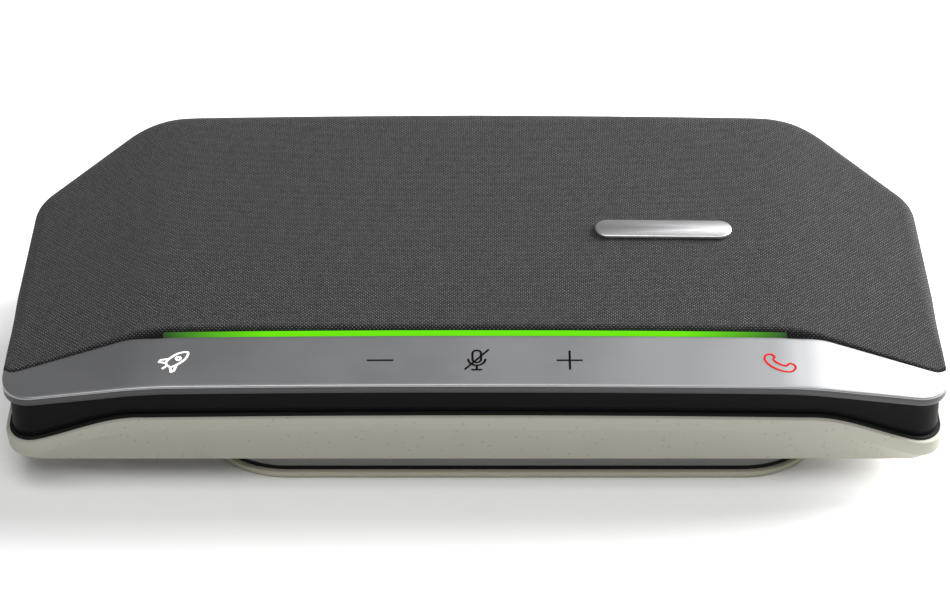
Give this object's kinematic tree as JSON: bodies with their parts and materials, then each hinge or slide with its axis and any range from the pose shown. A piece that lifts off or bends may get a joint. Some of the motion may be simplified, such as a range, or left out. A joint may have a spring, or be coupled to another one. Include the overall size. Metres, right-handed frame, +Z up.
{
  "type": "conference speakerphone",
  "caption": "Wedge-shaped desk speakerphone with drooping ends: cloth-covered top, front touch bar with a light strip, recessed band, tray and an off-centre pedestal foot.",
  "frame": {"origin": "centre of the housing's width and depth, on the table under the foot", "axes": "+X to the right along the width, -Y towards the user at the touch bar, +Z up"},
  "size_m": [0.213, 0.098, 0.043],
  "materials": {
    "tray_plastic": "fine-speckled warm grey moulded plastic",
    "foot_plastic": "dark grey moulded plastic",
    "flange_plastic": "olive-beige moulded plastic",
    "black_rubber": "matt black rubber",
    "band_plastic": "satin black moulded plastic",
    "frame_paint": "dark silver satin paint",
    "grille_plastic": "matt black plastic",
    "cloth": "charcoal melange basket weave",
    "bar_silver": "satin silver",
    "light_guide": "lit green diffuser",
    "badge_metal": "satin",
    "circuit_board": "green solder mask",
    "tin_plate": "tin-plated sheet",
    "chip_black": "moulded epoxy",
    "screw_steel": "black zinc",
    "mic_can": "gold-plated can",
    "flex_amber": "polyimide film",
    "battery_wrap": "shrink wrap",
    "red_lead": "silicone insulation",
    "black_lead": "silicone insulation",
    "chamber_plastic": "matt black plastic",
    "basket_steel": "black-coated steel",
    "magnet_steel": "zinc-plated",
    "cone_paper": "black pulp",
    "coil_copper": "wound copper wire",
    "spider_cloth": "resin-set cotton",
    "radiator_plate": "black anodised",
    "key_plastic": "matt black plastic",
    "antenna_gold": "gold traces on a ceramic strip",
    "bracket_steel": "plated steel"
  },
  "bodies": {
    "housing": {"bottom_tray": "tray_plastic", "foot_neck": "foot_plastic", "foot_seal": "black_rubber", "foot_base": "flange_plastic", "foot_pad": "black_rubber", "foot_screws": "screw_steel", "cord_inlet": "black_rubber", "mid_band": "band_plastic", "housing_gasket": "black_rubber", "top_frame": "frame_paint", "top_grille": "grille_plastic", "fabric_cover": "cloth", "touch_bar": "bar_silver", "light_guide": "light_guide", "led_strip": "circuit_board", "badge": "badge_metal", "touch_board": "circuit_board", "mic_boots": "black_rubber", "mic_capsules": "mic_can", "main_board": "circuit_board", "shield_cans": "tin_plate", "board_chips": "chip_black", "board_screws": "screw_steel", "touch_ribbon": "flex_amber", "battery_pack": "battery_wrap", "battery_bracket": "bracket_steel", "battery_lead": "red_lead", "speaker_box": "chamber_plastic", "speaker_basket": "basket_steel", "speaker_magnet": "magnet_steel", "speaker_surround": "black_rubber", "speaker_spider": "spider_cloth", "speaker_screws": "screw_steel", "radiator_frames": "basket_steel", "radiator_left_surround": "black_rubber", "radiator_right_surround": "black_rubber", "speaker_lead": "black_lead", "usb_a_port": "tin_plate", "usb_c_port": "tin_plate", "button_switches": "chip_black", "button_board": "circuit_board", "case_screws": "screw_steel", "antenna": "antenna_gold"},
    "cone": {"speaker_cone": "cone_paper", "voice_coil": "coil_copper", "dust_cap": "cone_paper"},
    "left_radiator": {"radiator_left": "radiator_plate"},
    "right_radiator": {"radiator_right": "radiator_plate"},
    "power_key": {"power_button": "key_plastic"},
    "pair_key": {"pair_button": "key_plastic"},
    "link_key": {"link_button": "key_plastic"}
  },
  "joints": [
    {"name": "cone_stroke", "type": "slide", "parent": "housing", "child": "cone", "axis": [0, 0, 1], "range_m": [-0.0012, 0.0012], "stiffness_N_per_m": 1200, "deforming": ["speaker_surround", "speaker_spider"]},
    {"name": "left_radiator_stroke", "type": "slide", "parent": "housing", "child": "left_radiator", "axis": [0, 0, 1], "range_m": [-0.0006, 0.0006], "deforming": ["radiator_left_surround"]},
    {"name": "right_radiator_stroke", "type": "slide", "parent": "housing", "child": "right_radiator", "axis": [0, 0, 1], "range_m": [-0.0006, 0.0006], "deforming": ["radiator_right_surround"]},
    {"name": "power_press", "type": "slide", "parent": "housing", "child": "power_key", "axis": [0, -1, 0], "range_m": [0, 0.0006], "stiffness_N_per_m": 1500},
    {"name": "pair_press", "type": "slide", "parent": "housing", "child": "pair_key", "axis": [0, -1, 0], "range_m": [0, 0.0006], "stiffness_N_per_m": 1500},
    {"name": "link_press", "type": "slide", "parent": "housing", "child": "link_key", "axis": [0, -1, 0], "range_m": [0, 0.0006], "stiffness_N_per_m": 1500}
  ],
  "couplings": [
    {"joint": "left_radiator_stroke", "follows": "cone_stroke", "ratio": -0.5},
    {"joint": "right_radiator_stroke", "follows": "cone_stroke", "ratio": -0.5}
  ]
}
